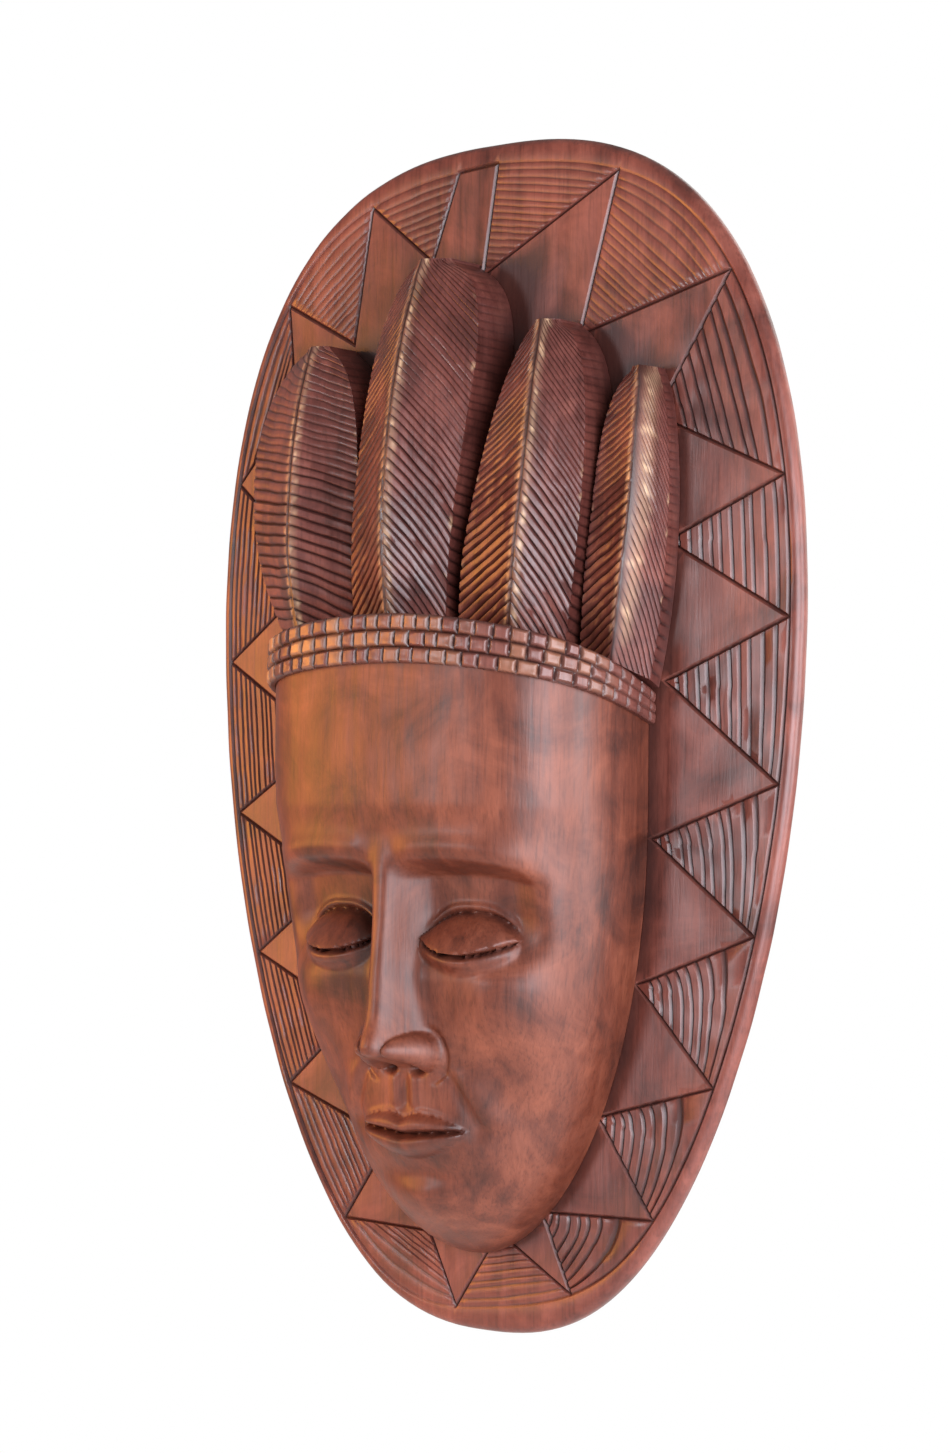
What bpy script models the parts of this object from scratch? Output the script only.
"""Carved wooden wall mask: an egg-shaped backboard, a hollow face, a headband, four plumes and a ring hanger.

The model is built round the middle of the board, with its back on the plane Y = 0, its front towards -Y and
+Z up. At the end everything hangs from one empty, which puts the frame's origin at the point where the wall
nail carries the hanging ring.
"""

import math

import bmesh
import bpy
import numpy as np
from mathutils import Matrix, Vector

MM = 0.001
GAP = 0.3 * MM  # left between pieces that rest on each other

# The backboard. Its outline is an egg, wider above the middle and squarer than an ellipse.
BOARD_HALF_HEIGHT = 250 * MM
BOARD_HALF_WIDTH = 150.5 * MM
BOARD_TAPER = 0.16
SQUARE_X = 0.78  # powers of the sine and cosine: below 1 fills out the corners
SQUARE_Z = 0.95
BOARD_THICK = 16 * MM
BOARD_STEPS = 96
RIM_RADIUS = 4 * MM
RIM_STEPS = 3
SIDE_DEPTH = 2 * MM
BACK_BEVEL = 9 * MM

# The head. Heights are from the middle of the board, and reliefs are from the board's front.
HEAD_HALF_WIDTH = 82 * MM
HEAD_RELIEF = 72 * MM
HEAD_TILT = 0.45  # share of the relief lost from the brow down to the chin
HEAD_WIDEST = -30 * MM
CHIN = -217 * MM
HEAD_WALL = 18 * MM
HEAD_ROWS = 44
FOREHEAD_ROWS = 7
HEAD_COLUMNS = 40
HOLLOW_TOP = 0 * MM
CROWN_MIDDLE = 46.5 * MM
CROWN_DROP = 30 * MM  # how far the head's top edge falls from the middle to the board

# The face, by the usual thirds from hairline to brow, brow to nose and nose to chin.
HAIRLINE = 27 * MM
THIRD = (HAIRLINE - CHIN) / 3
BROW = HAIRLINE - THIRD
NOSE_BASE = BROW - THIRD
MOUTH = NOSE_BASE - THIRD / 3
EYE_WIDTH = 2 * HEAD_HALF_WIDTH / 5  # five eyes fit across the head
EYE_LINE = BROW - 0.34 * THIRD
NOSE_RELIEF = 20 * MM

# The headband.
BAND_THICK = 4 * MM
BAND_MIDDLE_HEIGHT = 20 * MM
BAND_END_HEIGHT = 13 * MM

# The plumes. Each bottom end slopes like the crown behind the headband.
PLUME_FOOT = 18 * MM
PLUME_FOOT_SLOPE = 0.47
PLUME_STATIONS = 14
PLUMES = {  # in millimetres
    # name: X of the left edge, the spine and the right edge, each at foot, middle and tip; their reliefs; top
    "plume_outer_left": ((-90, -113, -106), (-79, -80, -82), (-57, -52, -56), (24, 40, 26), 168),
    "plume_inner_left": ((-56, -49, -40), (-25, -21, -18), (-4, 5, 24), (30, 47, 28), 199),
    "plume_inner_right": ((-3, 12, 27), (31, 43, 41), (53, 63, 64), (28, 38, 22), 169),
    "plume_outer_right": ((54, 64.5, 66), (78, 90, 87), (88, 96, 93), (18, 29, 8), 147),
}

# The hanger: a strap curled round a D-shaped wire ring, in a pocket in the board's back.
HINGE_HEIGHT = 180 * MM
POCKET_DEPTH = 6 * MM
POCKET_WIDTH = 28 * MM
POCKET_ABOVE = 19 * MM
POCKET_BELOW = 42 * MM
STRAP_WIDTH = 10 * MM
STRAP_LENGTH = 36 * MM
STRAP_THICK = 1.2 * MM
WIRE_RADIUS = 1.2 * MM
RING_HALF_WIDTH = 9.2 * MM
RING_SIDE = 4.8 * MM
CURL_CLEARANCE = 0.3 * MM
SCREW_DROPS = (20 * MM, 30 * MM)  # below the hinge, clear of the hanging ring
SCREW_RADIUS = 1.5 * MM
SCREW_LENGTH = 8 * MM
SCREW_HEAD_RADIUS = 2.9 * MM
SCREW_HEAD_HEIGHT = 1.5 * MM

CURL_BORE = WIRE_RADIUS + CURL_CLEARANCE
CURL_RADIUS = CURL_BORE + STRAP_THICK
POCKET_FLOOR = -POCKET_DEPTH
STRAP_BACK = POCKET_FLOOR + 0.2 * MM
SCREW_SEAT = STRAP_BACK + STRAP_THICK + 0.2 * MM
HINGE_Y = STRAP_BACK + CURL_RADIUS
NAIL_HEIGHT = HINGE_HEIGHT + RING_SIDE + RING_HALF_WIDTH - WIRE_RADIUS
FRONT = -BOARD_THICK


# ---------------------------------------------------------------- scene and object helpers


def clear_scene():
    for old in list(bpy.data.objects):
        bpy.data.objects.remove(old)


def new_collection(name):
    made = bpy.data.collections.new(name)
    bpy.context.scene.collection.children.link(made)
    return made


def material(name, colour, roughness, metallic=0.0):
    made = bpy.data.materials.new(name)
    made.use_nodes = True
    shader = made.node_tree.nodes["Principled BSDF"]
    shader.inputs["Base Color"].default_value = (*colour, 1.0)
    shader.inputs["Roughness"].default_value = roughness
    shader.inputs["Metallic"].default_value = metallic
    return made


def object_from_bmesh(shape, name, collection, finish=None):
    bmesh.ops.recalc_face_normals(shape, faces=shape.faces)
    mesh = bpy.data.meshes.new(name)
    shape.to_mesh(mesh)
    shape.free()
    made = bpy.data.objects.new(name, mesh)
    collection.objects.link(made)
    if finish:
        mesh.materials.append(finish)
    return made


def object_from_curve(curve, name, collection, turn=Matrix.Identity(4)):
    """The mesh of a curve's evaluated shape, with its caps welded on."""
    guide = bpy.data.objects.new(name + "_curve", curve)
    collection.objects.link(guide)
    guide.matrix_world = turn
    bpy.context.view_layer.update()
    graph = bpy.context.evaluated_depsgraph_get()
    mesh = bpy.data.meshes.new_from_object(guide.evaluated_get(graph))
    shape = bmesh.new()
    shape.from_mesh(mesh)
    bmesh.ops.remove_doubles(shape, verts=shape.verts, dist=0.001 * MM)
    made = object_from_bmesh(shape, name, collection)
    made.matrix_world = turn
    bpy.data.objects.remove(guide)
    return made


def shade_round(obj, angle=40):
    obj.data.shade_smooth()
    obj.data.set_sharp_from_angle(angle=math.radians(angle))


def cut(obj, cutter):
    cutter.hide_render = True
    cutter.display_type = "WIRE"
    boolean = obj.modifiers.new("cut_" + cutter.name, "BOOLEAN")
    boolean.operation = "DIFFERENCE"
    boolean.object = cutter


def block(name, collection, low, high):
    """A box cutter between two corners."""
    shape = bmesh.new()
    middle = (Vector(low) + Vector(high)) / 2
    size = Vector(high) - Vector(low)
    bmesh.ops.create_cube(shape, size=1, matrix=Matrix.LocRotScale(middle, None, size))
    return object_from_bmesh(shape, name, collection)


def rod(name, collection, x, z, y_from, y_to, radius, steps=16):
    """A cylinder cutter along Y."""
    shape = bmesh.new()
    turn = Matrix.Rotation(math.radians(90), 4, "X")
    place = Matrix.Translation((x, (y_from + y_to) / 2, z)) @ turn
    bmesh.ops.create_cone(
        shape, cap_ends=True, segments=steps, radius1=radius, radius2=radius, depth=abs(y_to - y_from), matrix=place
    )
    return object_from_bmesh(shape, name, collection)


# ---------------------------------------------------------------- backboard


def egg_outline(count, samples=2880):
    """Points and outward normals, evenly spaced along the board's outline, clockwise from the top."""
    turn = np.linspace(0, 2 * math.pi, samples + 1)
    sine, cosine = np.sin(turn), np.cos(turn)
    x = BOARD_HALF_WIDTH * np.sign(sine) * np.abs(sine) ** SQUARE_X * (1 + BOARD_TAPER * cosine)
    z = BOARD_HALF_HEIGHT * np.sign(cosine) * np.abs(cosine) ** SQUARE_Z
    length = np.concatenate([[0], np.cumsum(np.hypot(np.diff(x), np.diff(z)))])
    place = length[-1] * np.arange(count) / count
    points = np.stack([np.interp(place, length, x), np.interp(place, length, z)], axis=1)
    along = np.roll(points, -1, axis=0) - np.roll(points, 1, axis=0)
    normals = np.stack([-along[:, 1], along[:, 0]], axis=1) / np.linalg.norm(along, axis=1)[:, None]
    return points, normals


def rim_section():
    """Inset and depth at each corner of the board's edge, from the front face round to the back."""
    turns = [math.radians(90 * i / RIM_STEPS) for i in range(RIM_STEPS + 1)]
    rounding = [(RIM_RADIUS * (1 - math.sin(a)), FRONT + RIM_RADIUS * (1 - math.cos(a))) for a in turns]
    return [*rounding, (0, FRONT + RIM_RADIUS + SIDE_DEPTH), (BACK_BEVEL, 0)]


def make_backboard(collection, cutters, finish, hollow):
    points, normals = egg_outline(BOARD_STEPS)
    shape = bmesh.new()
    rings = []
    for inset, y in rim_section():
        rings.append([shape.verts.new((x, y, z)) for x, z in points - inset * normals])
    for ring, following in zip(rings, rings[1:]):
        for place in range(BOARD_STEPS):
            after = (place + 1) % BOARD_STEPS
            shape.faces.new((ring[place], ring[after], following[after], following[place]))
    shape.faces.new(rings[0])
    shape.faces.new(rings[-1])
    board = object_from_bmesh(shape, "backboard", collection, finish)
    cut(board, hollow)
    cut(
        board,
        block(
            "hanger_pocket",
            cutters,
            (-POCKET_WIDTH / 2, POCKET_FLOOR, HINGE_HEIGHT - POCKET_BELOW),
            (POCKET_WIDTH / 2, 5 * MM, HINGE_HEIGHT + POCKET_ABOVE),
        ),
    )
    for number, drop in enumerate(SCREW_DROPS, 1):
        hole = rod(
            f"board_screw_hole_{number}",
            cutters,
            0,
            HINGE_HEIGHT - drop,
            SCREW_SEAT - SCREW_LENGTH - 0.5 * MM,
            POCKET_FLOOR + 2 * MM,
            SCREW_RADIUS + GAP,
        )
        cut(board, hole)
    shade_round(board)
    return board


# ---------------------------------------------------------------- head


def along_height(z, inset):
    """How far z is from the head's widest height towards the chin, from 0 to 1, with the wall taken off."""
    return np.clip((HEAD_WIDEST - z) / (HEAD_WIDEST - CHIN - inset), 0, 1)


def middle_relief(z, inset=0.0):
    """Relief of the head's middle at height z, less as the face tilts back to the chin."""
    down = along_height(z, inset)
    return (HEAD_RELIEF - inset) * (1 - HEAD_TILT * down) * (1 - down**6.5) ** 0.5


def head_section(z, inset, samples=160):
    """X and relief along the head's cross-section at height z, from its right edge to its left edge."""
    down = along_height(z, inset)
    half_width = (HEAD_HALF_WIDTH - inset) * (1 - down**2.2) ** 0.56
    relief = middle_relief(z, inset)
    power = 2 / (3.4 - 1.0 * down)
    turn = np.linspace(0, math.pi, samples)
    x = half_width * np.sign(np.cos(turn)) * np.abs(np.cos(turn)) ** power
    y = relief * np.abs(np.sin(turn)) ** power
    return x, y


def head_point(share, z, inset=0.0):
    """X and relief at a share, 0 to 1, of the way round the section at height z, by length."""
    x, y = head_section(z, inset)
    length = np.concatenate([[0], np.cumsum(np.hypot(np.diff(x), np.diff(y)))])
    place = share * length[-1]
    return float(np.interp(place, length, x)), float(np.interp(place, length, y))


def bump(value, middle, width):
    return math.exp(-(((value - middle) / width) ** 2))


def step(value, low, high):
    part = min(max((value - low) / (high - low), 0), 1)
    return part * part * (3 - 2 * part)


def face_relief(x, z):
    """What the features add to the head's relief: one (x, z) point in, one length out."""
    side = abs(x)
    eye_x = EYE_WIDTH * 1.02
    brow = 3 * MM * bump(side, 30 * MM, 26 * MM) * bump(z, BROW - side * 0.06, 8 * MM)
    socket = -12 * MM * bump(side, eye_x * 0.86, 19 * MM) * bump(z, EYE_LINE + 2 * MM, 16 * MM)
    lid = 8.5 * MM * max(1 - ((side - eye_x) / (19 * MM)) ** 2 - ((z - EYE_LINE) / (12 * MM)) ** 2, 0) ** 0.7
    cheek = 3 * MM * bump(side, 44 * MM, 20 * MM) * bump(z, NOSE_BASE + 27 * MM, 20 * MM)
    hollow = -3 * MM * bump(side, 42 * MM, 16 * MM) * bump(z, MOUTH, 22 * MM)

    down_nose = min(max((BROW - 2 * MM - z) / (BROW - NOSE_BASE - 10 * MM), 0), 1)
    under_nose = step(z, NOSE_BASE - 3 * MM, NOSE_BASE + 6 * MM)
    nose_width = (7 + 3.5 * down_nose**2) * MM
    nose = NOSE_RELIEF * down_nose * under_nose * bump(x, 0, nose_width)
    wings = 9 * MM * bump(side, 12 * MM, 6 * MM) * bump(z, NOSE_BASE + 6 * MM, 7 * MM)

    mouth_fade = max(1 - (side / (27 * MM)) ** 2, 0)
    upper_lip = 6 * MM * mouth_fade * bump(z, MOUTH + 5 * MM, 6 * MM)
    lower_lip = 7 * MM * mouth_fade**1.3 * bump(z, MOUTH - 6 * MM, 6.5 * MM)
    below_lips = -3 * MM * bump(x, 0, 20 * MM) * bump(z, MOUTH - 18 * MM, 6 * MM)
    chin = 7 * MM * bump(x, 0, 19 * MM) * bump(z, CHIN + 22 * MM, 14 * MM)
    return (
        brow + socket + lid + cheek + hollow + nose + wings * (1 - 0.6 * bump(x, 0, nose_width))
        + upper_lip + lower_lip + below_lips + chin
    )


def crown_height(share):
    """Height of the head's top edge at a share of the way round its section."""
    return CROWN_MIDDLE - CROWN_DROP * (2 * share - 1) ** 2


def head_shares():
    """Shares of the way round the head for its columns, closer together at the nose than at the sides."""
    ends = np.linspace(-1, 1, HEAD_COLUMNS + 1)
    return [0.5 + 0.5 * (0.62 * t + 0.38 * t**3) for t in ends]


def head_rises():
    """Shares of the way from chin to crown for the head's rows, close together up to the brow."""
    brow_share = 0.66
    face_rows = HEAD_ROWS - FOREHEAD_ROWS
    face = [brow_share * (i / face_rows) ** 1.12 for i in range(1, face_rows + 1)]
    return face + [brow_share + (1 - brow_share) * i / FOREHEAD_ROWS for i in range(1, FOREHEAD_ROWS + 1)]


def facing(relief, z):
    """How far a point of the head faces the viewer, so that features fade out round its sides."""
    return min(relief / max(0.6 * middle_relief(z), MM), 1) ** 2


def make_head_solid(name, collection, finish):
    """The head as a filled solid with its features: rows from the chin to the sloping crown."""
    shape = bmesh.new()
    tip = shape.verts.new((0, FRONT - GAP, CHIN))
    grid = []
    for up in head_rises():
        line = []
        for share in head_shares():
            z = CHIN + (crown_height(share) - CHIN) * up
            x, relief = head_point(share, z)
            relief += facing(relief, z) * face_relief(x, z)
            line.append(shape.verts.new((x, FRONT - GAP - relief, z)))
        grid.append(line)
    for right, left in zip(grid[0], grid[0][1:]):
        shape.faces.new((tip, left, right))
    for lower, upper in zip(grid, grid[1:]):
        for column in range(HEAD_COLUMNS):
            shape.faces.new((lower[column], lower[column + 1], upper[column + 1], upper[column]))
    crown = grid[-1]
    last = HEAD_COLUMNS
    for column in range(last // 2):
        corners = [crown[column], crown[column + 1], crown[last - 1 - column], crown[last - column]]
        shape.faces.new(list(dict.fromkeys(corners)))
    shape.faces.new([tip, *(line[0] for line in grid), *(line[-1] for line in reversed(grid))])
    return object_from_bmesh(shape, name, collection, finish)


def make_hollow_cutter(collection):
    """The space inside the mask: it runs out through the board, so one cutter opens both."""
    columns, rows = 20, 16
    behind = 5 * MM
    low = CHIN + HEAD_WALL
    shape = bmesh.new()
    grid = []
    for row in range(rows + 1):
        z = low + 1.5 * MM + (HOLLOW_TOP - low - 1.5 * MM) * row / rows
        line = [shape.verts.new((head_point(0, z, HEAD_WALL)[0], behind, z))]
        for column in range(columns + 1):
            x, relief = head_point(column / columns, z, HEAD_WALL)
            line.append(shape.verts.new((x, FRONT - relief, z)))
        line.append(shape.verts.new((head_point(1, z, HEAD_WALL)[0], behind, z)))
        grid.append(line)
    for lower, upper in zip(grid, grid[1:]):
        for column in range(len(lower) - 1):
            shape.faces.new((lower[column], lower[column + 1], upper[column + 1], upper[column]))
    shape.faces.new(grid[0])
    shape.faces.new(grid[-1])
    shape.faces.new([*(line[0] for line in grid), *(line[-1] for line in reversed(grid))])
    return object_from_bmesh(shape, "mask_hollow", collection)


def make_headband(collection, finish):
    """A strip that wraps over the forehead from board to board, just clear of the head."""
    shape = bmesh.new()
    sections = []
    for share in head_shares():
        out = abs(2 * share - 1)
        top = crown_height(share)
        bottom = top - BAND_MIDDLE_HEIGHT + (BAND_MIDDLE_HEIGHT - BAND_END_HEIGHT) * out**2
        ring = []
        for z, lift in ((bottom, GAP), (bottom, BAND_THICK), (top, BAND_THICK), (top, GAP)):
            x, relief = head_point(share, z)
            ahead = head_point(min(share + 0.01, 1), z)
            behind = head_point(max(share - 0.01, 0), z)
            outward = Vector((behind[1] - ahead[1], behind[0] - ahead[0])).normalized()
            feature = facing(relief, z) * face_relief(x, z)
            x -= outward.x * lift
            relief = max(relief + outward.y * lift, 0)
            ring.append(shape.verts.new((x, FRONT - GAP - relief - feature, z)))
        sections.append(ring)
    for ring, following in zip(sections, sections[1:]):
        for corner in range(4):
            after = (corner + 1) % 4
            shape.faces.new((ring[corner], ring[after], following[after], following[corner]))
    shape.faces.new(sections[0])
    shape.faces.new(sections[-1])
    return object_from_bmesh(shape, "headband", collection, finish)


# ---------------------------------------------------------------- plumes


def three_point(values, along):
    """A smooth curve through values at 0, a half and 1."""
    first, middle, last = values
    bow = middle - (first + last) / 2
    return first + (last - first) * along + 4 * bow * along * (1 - along)


def make_plume(name, collection, finish, left, spine, right, reliefs, top):
    """A ridged feather: five-cornered sections, each a flat foot, two upright sides and two sloping vanes."""
    shape = bmesh.new()
    sections = []
    for station in range(PLUME_STATIONS + 1):
        along = 0.5 - 0.5 * math.cos(math.pi * (station + 1) / (PLUME_STATIONS + 1))
        along = (along - 0.5 + 0.5 * math.cos(math.pi / (PLUME_STATIONS + 1))) / (
            0.5 + 0.5 * math.cos(math.pi / (PLUME_STATIONS + 1))
        )
        swell = step(along, -0.35, 0.4)
        width = (0.8 + 0.2 * swell) * (1 - min(along, 0.99) ** 7) ** 0.5
        ridge = (0.6 + 0.4 * swell) * (1 - 0.45 * along**4)
        edge = (0.6 + 0.4 * swell) * (1 - 0.3 * along**4)
        middle = three_point(spine, along)
        left_edge = middle + (three_point(left, along) - middle) * width
        right_edge = middle + (three_point(right, along) - middle) * width
        lean = PLUME_FOOT_SLOPE * (1 - along) ** 2
        corners = (
            (left_edge, 0),
            (left_edge, reliefs[0] * edge),
            (middle, reliefs[1] * ridge),
            (right_edge, reliefs[2] * edge),
            (right_edge, 0),
        )
        height = PLUME_FOOT + (top * MM - PLUME_FOOT) * along
        ring = [(x * MM, FRONT - GAP - relief * MM, height + lean * relief * MM) for x, relief in corners]
        sections.append([shape.verts.new(corner) for corner in ring])
    for ring, following in zip(sections, sections[1:]):
        for corner in range(len(ring)):
            after = (corner + 1) % len(ring)
            shape.faces.new((ring[corner], ring[after], following[after], following[corner]))
    shape.faces.new(sections[0])
    shape.faces.new(sections[-1])
    return object_from_bmesh(shape, name, collection, finish)


# ---------------------------------------------------------------- hanger


def arc(middle, radius, start, end, steps):
    """Points on a circle, by angles in degrees."""
    angles = [math.radians(start + (end - start) * i / steps) for i in range(steps + 1)]
    return [(middle[0] + radius * math.cos(a), middle[1] + radius * math.sin(a)) for a in angles]


def add_outline(curve, points, depth=0.0):
    spline = curve.splines.new("POLY")
    spline.points.add(len(points) - 1)
    for target, point in zip(spline.points, points):
        target.co = (*point, depth, 1)
    spline.use_cyclic_u = True


def make_strap(collection, cutters, finish):
    """A flat leaf whose upper end curls round the ring's bar, drawn side on and widened."""
    curve = bpy.data.curves.new("strap_outline", "CURVE")
    curve.dimensions = "2D"
    curve.fill_mode = "BOTH"
    curve.extrude = STRAP_WIDTH / 2
    foot = HINGE_HEIGHT - STRAP_LENGTH
    closing = math.degrees(math.acos((CURL_RADIUS - STRAP_THICK) / CURL_RADIUS))
    curl = arc((HINGE_Y, HINGE_HEIGHT), CURL_RADIUS, 180, -180 + closing, 20)
    add_outline(curve, [(STRAP_BACK, foot), *curl, (STRAP_BACK + STRAP_THICK, foot)])
    add_outline(curve, arc((HINGE_Y, HINGE_HEIGHT), CURL_BORE, 0, 337.5, 15))
    side_on = Matrix(((0, 0, 1, 0), (1, 0, 0, 0), (0, 1, 0, 0), (0, 0, 0, 1)))
    strap = object_from_curve(curve, "hanger_strap", collection, side_on)
    strap.data.materials.append(finish)
    for number, drop in enumerate(SCREW_DROPS, 1):
        hole = rod(
            f"strap_screw_hole_{number}",
            cutters,
            0,
            HINGE_HEIGHT - drop,
            STRAP_BACK - 1 * MM,
            STRAP_BACK + STRAP_THICK + 1 * MM,
            SCREW_RADIUS + GAP,
        )
        cut(strap, hole)
    shade_round(strap)
    return strap


def make_ring(collection, finish):
    """A D of wire, hanging from its straight bar. The object's own origin is on the hinge."""
    bend = 2.2 * MM
    below = -RING_SIDE
    path = [
        *arc((RING_HALF_WIDTH - bend, -bend), bend, 90, 0, 3),
        *arc((0, below), RING_HALF_WIDTH, 0, -180, 14),
        *arc((-RING_HALF_WIDTH + bend, -bend), bend, 180, 90, 3),
    ]
    curve = bpy.data.curves.new("ring_wire", "CURVE")
    curve.dimensions = "3D"
    curve.bevel_depth = WIRE_RADIUS
    curve.bevel_resolution = 2
    add_outline(curve, path)
    upright = Matrix.Rotation(math.radians(90), 4, "X")
    ring = object_from_curve(curve, "hanger_ring", collection, upright)
    ring.data.transform(upright)
    ring.matrix_world = Matrix.Translation((0, HINGE_Y, HINGE_HEIGHT))
    ring.data.materials.append(finish)
    shade_round(ring, 60)
    return ring


def make_screw(name, collection, cutters, finish, z):
    """A pan-head screw, turned about Y, its head on the strap and its point in the board."""
    seat = SCREW_HEAD_HEIGHT
    profile = [
        (0.0, seat),
        (SCREW_HEAD_RADIUS * 0.6, seat),
        (SCREW_HEAD_RADIUS, seat * 0.45),
        (SCREW_HEAD_RADIUS, 0.0),
        (SCREW_RADIUS, 0.0),
        (SCREW_RADIUS, -SCREW_LENGTH + 2.2 * MM),
        (0.0, -SCREW_LENGTH),
    ]
    mesh = bpy.data.meshes.new(name)
    mesh.from_pydata([(r, 0, h) for r, h in profile], [(i, i + 1) for i in range(len(profile) - 1)], [])
    mesh.materials.append(finish)
    screw = bpy.data.objects.new(name, mesh)
    collection.objects.link(screw)
    turning = screw.modifiers.new("turn", "SCREW")
    turning.steps = turning.render_steps = 16
    turning.use_merge_vertices = True
    turning.merge_threshold = 0.0001 * MM
    turning.use_smooth_shade = True
    for number, turn in enumerate((0, 90), 1):
        slot = block(f"{name}_slot_{number}", cutters, (-2 * MM, -0.35 * MM, seat - 0.8 * MM), (2 * MM, 0.35 * MM, 3 * MM))
        slot.parent = screw
        slot.rotation_euler.z = math.radians(turn)
        cut(screw, slot)
    screw.rotation_euler.x = math.radians(-90)
    screw.location = (0, SCREW_SEAT, z)
    return screw


# ---------------------------------------------------------------- assembly


def main():
    clear_scene()
    parts = new_collection("carved_wall_mask")
    cutters = new_collection("cutters")
    wood = material("stained_wood", (0.24, 0.075, 0.04), 0.38)
    steel = material("zinc_steel", (0.62, 0.60, 0.55), 0.35, 1.0)

    hollow = make_hollow_cutter(cutters)
    made = [make_backboard(parts, cutters, wood, hollow)]
    face = make_head_solid("face", parts, wood)
    cut(face, hollow)
    shade_round(face)
    made.append(face)
    made.append(make_headband(parts, wood))
    made += [make_plume(name, parts, wood, *sizes) for name, sizes in PLUMES.items()]
    made.append(make_strap(parts, cutters, steel))
    made.append(make_ring(parts, steel))
    for number, drop in enumerate(SCREW_DROPS, 1):
        made.append(make_screw(f"hanger_screw_{number}", parts, cutters, steel, HINGE_HEIGHT - drop))

    nail = bpy.data.objects.new("hang_point", None)
    parts.objects.link(nail)
    cutter_objects = [o for o in cutters.objects if o.parent is None]
    for piece in [*made, *cutter_objects]:
        piece.parent = nail
    nail.location.z = -NAIL_HEIGHT


main()
